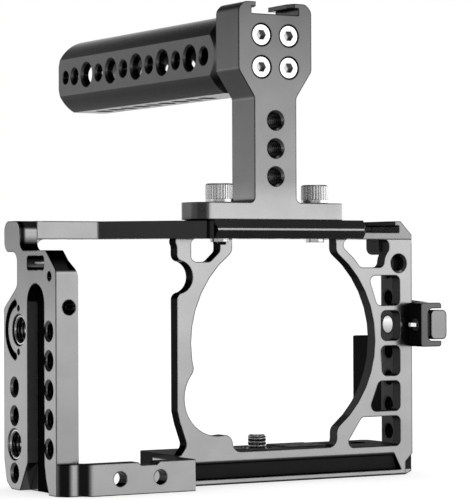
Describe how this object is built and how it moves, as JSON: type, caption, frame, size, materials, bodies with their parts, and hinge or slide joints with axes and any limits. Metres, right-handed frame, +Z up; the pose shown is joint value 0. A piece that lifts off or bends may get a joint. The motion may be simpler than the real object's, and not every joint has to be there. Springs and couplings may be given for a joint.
{
  "type": "camera cage",
  "caption": "Open metal camera cage with a round lens opening, threaded side plates, a top rail and shoe, a top handle with a hollow grip, and a screw-driven cable clamp",
  "frame": {"origin": "camera screw axis at the seat plane, where the camera's underside rests", "axes": "+Z up along the camera screw, -Y towards the lens side, +X to the right seen from the front"},
  "size_m": [0.1541, 0.1455, 0.1635],
  "materials": {
    "anodised": "satin anodised",
    "steel": "bright turned",
    "rubber": "matte"
  },
  "bodies": {
    "frame": {"side_plate_left": "anodised", "grip_bar": "anodised", "base_plate": "anodised", "lens_plate": "anodised", "top_plate": "anodised", "side_plate_right": "anodised", "locating_insert": "steel", "lower_insert": "steel", "strap_pin": "steel", "seat_pad_left": "rubber", "seat_pad_right": "rubber", "handle_bracket": "anodised", "handle_grip": "anodised", "grip_screws": "steel", "clamp_body": "anodised", "clamp_mount_screw": "steel"},
    "camera_screw": {"camera_screw": "steel", "camera_screw_clip": "steel"},
    "handle_screw_left": {"handle_screw_left": "steel"},
    "handle_screw_right": {"handle_screw_right": "steel"},
    "clamp_screw": {"clamp_screw": "steel", "clamp_screw_clip": "steel"},
    "clamp_jaw": {"clamp_jaw": "anodised", "clamp_jaw_pad": "rubber"}
  },
  "joints": [
    {"name": "camera_screw_turn", "type": "hinge", "parent": "frame", "child": "camera_screw", "pos_m": [0, 0, 0], "axis": [0, 0, 1], "continuous": true},
    {"name": "handle_screw_left_turn", "type": "hinge", "parent": "frame", "child": "handle_screw_left", "pos_m": [-0.02665, -0.0203, 0.0788], "axis": [0, 0, 1], "continuous": true},
    {"name": "handle_screw_right_turn", "type": "hinge", "parent": "frame", "child": "handle_screw_right", "pos_m": [0.01145, -0.0203, 0.0788], "axis": [0, 0, 1], "continuous": true},
    {"name": "clamp_screw_turn", "type": "hinge", "parent": "frame", "child": "clamp_screw", "pos_m": [0.053, -0.0231, 0.0422], "axis": [-1, 0, 0], "range_deg": [0, 1800]},
    {"name": "clamp_jaw_slide", "type": "slide", "parent": "frame", "child": "clamp_jaw", "axis": [1, 0, 0], "range_m": [0, 0.0035]}
  ],
  "couplings": [
    {"joint": "clamp_screw_turn", "follows": "clamp_jaw_slide", "rad_per_m": 8976}
  ]
}
